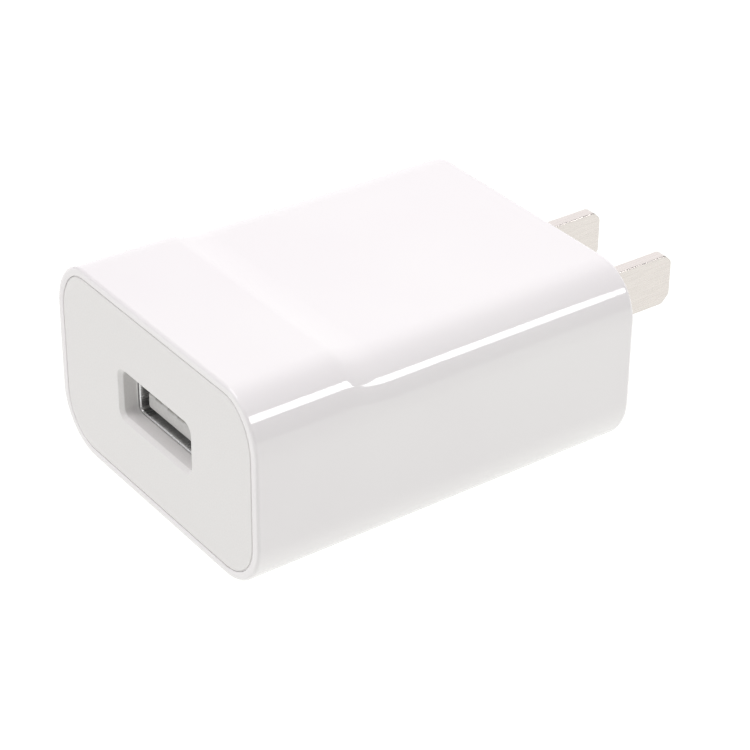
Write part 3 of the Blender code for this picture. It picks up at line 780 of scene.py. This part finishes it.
studio = {
    "floorSize": 4000.0,
    "floorDrop": 0.03,      # mm below the charger
    "floorGlow": 0.82,
    "floorTint": (0.985, 1.0, 0.97, 1.0),
    "floorColour": "8A8A89",
    "roomTint": (1.0, 0.985, 0.995, 1.0),
    "around": 0.35,         # how bright the room is, apart from these patches of it
    "patches": (            # each: the way to it, how many degrees off it starts and is full, brightness
        ((-0.69, 0.50, 0.52), 75, 15, 1.2),     # the pale backdrop, left and behind
        ((-0.80, -0.45, 0.40), 60, 20, 0.22),   # the wall on the left, in shade
        ((-0.30, -0.70, 0.65), 50, 15, 1.1),    # a bounce board before the front panel
        ((0.0, 0.0, 1.0), 50, 10, 0.95),        # the ceiling
        ((0.62, 0.50, 0.60), 60, 25, 0.34),     # dark cloth round the strip light
        ((0.69, -0.50, 0.25), 55, 15, 0.05),    # and on the right, in front
    ),
    "stripPlane": 718.0,    # mm to the right of the charger
    "stripAlong": (185.0, 730.0),
    "stripHeight": (492.0, 779.0),
    "stripRadiance": 8.8,
    "stripTint": (1.0, 0.985, 0.99),
    "topPlace": (-215.0, -260.0, 875.0),
    "topSize": (500.0, 500.0),
    "topRadiance": 3.75,
    "topTint": (1.0, 0.97, 1.0),
}


def makeFloor():
    half = studio["floorSize"] / 2 * mm
    z = cadBox[0][2] - studio["floorDrop"] * mm
    data = bpy.data.meshes.new("floor")
    corners = [(-half, -half, z), (half, -half, z), (half, half, z), (-half, half, z)]
    data.from_pydata(corners, [], [(0, 1, 2, 3)])
    floor = bpy.data.objects.new("floor", data)
    bpy.context.scene.collection.objects.link(floor)
    # a sheet of opal acrylic lit from below: white, with hardly any shadow
    material = newMaterial(
        "litOpalAcrylic", Roughness=0.6, Emission_Strength=studio["floorGlow"],
        Base_Color=linearColour(studio["floorColour"]), Emission_Color=studio["floorTint"])[0]
    data.materials.append(material)


def lobe(tree, direction, towards, start, full):
    # 0 to 1 as a direction nears `towards`; start and full are angles from it, in degrees
    near = addNode(tree, "ShaderNodeVectorMath", {0: direction, 1: Vector(towards).normalized()},
                   operation="DOT_PRODUCT")
    return addNode(tree, "ShaderNodeMapRange", {
        "Value": near.outputs["Value"], "From Min": math.cos(math.radians(start)),
        "From Max": math.cos(math.radians(full))}, interpolation_type="SMOOTHSTEP").outputs["Result"]


def makeSurroundings():
    world = bpy.data.worlds.new("studio")
    bpy.context.scene.world = world
    world.use_nodes = True
    tree = world.node_tree
    tree.nodes.clear()
    direction = addNode(tree, "ShaderNodeTexCoord").outputs["Generated"]
    level = studio["around"]
    for towards, start, full, brightness in studio["patches"]:
        patch = lobe(tree, direction, towards, start, full)
        mixed = addNode(tree, "ShaderNodeMix", {0: patch, 2: level, 3: brightness}, data_type="FLOAT")
        level = mixed.outputs[0]
    light = addNode(tree, "ShaderNodeBackground", {"Color": studio["roomTint"], "Strength": level})
    plain = addNode(tree, "ShaderNodeBackground", {"Color": (1.0, 1.0, 1.0, 1.0), "Strength": 1.0})
    seen = addNode(tree, "ShaderNodeLightPath").outputs["Is Camera Ray"]
    both = addNode(tree, "ShaderNodeMixShader", {
        0: seen, 1: light.outputs["Background"], 2: plain.outputs["Background"]})
    addNode(tree, "ShaderNodeOutputWorld", {"Surface": both.outputs["Shader"]})


def addSoftbox(name, middle, facing, along, size, radiance, colour):
    # a lit rectangle; places and sizes are in mm, and radiance is how white it looks
    data = bpy.data.lights.new(name, "AREA")
    data.shape = "RECTANGLE"
    data.size, data.size_y = size[0] * mm, size[1] * mm
    data.energy = radiance * math.pi * data.size * data.size_y
    data.color = colour
    light = bpy.data.objects.new(name, data)
    back = -Vector(facing).normalized()
    right = Vector(along).normalized()
    turn = Matrix((right, back.cross(right), back)).transposed().to_4x4()
    light.matrix_world = Matrix.Translation(Vector(middle) * mm) @ turn
    light.visible_camera = False
    bpy.context.scene.collection.objects.link(light)


def makeLights():
    (near, far), (low, high) = studio["stripAlong"], studio["stripHeight"]
    middle = (studio["stripPlane"], (near + far) / 2, (low + high) / 2)
    addSoftbox("stripSoftbox", middle, (-1, 0, 0), (0, 1, 0), (far - near, high - low),
               studio["stripRadiance"], studio["stripTint"])
    addSoftbox("topSoftbox", studio["topPlace"], (0, 0, -1), (1, 0, 0), studio["topSize"],
               studio["topRadiance"], studio["topTint"])


makeFloor()
makeSurroundings()
makeLights()
bpy.context.scene.view_settings.view_transform = "Standard"
print("studio made")
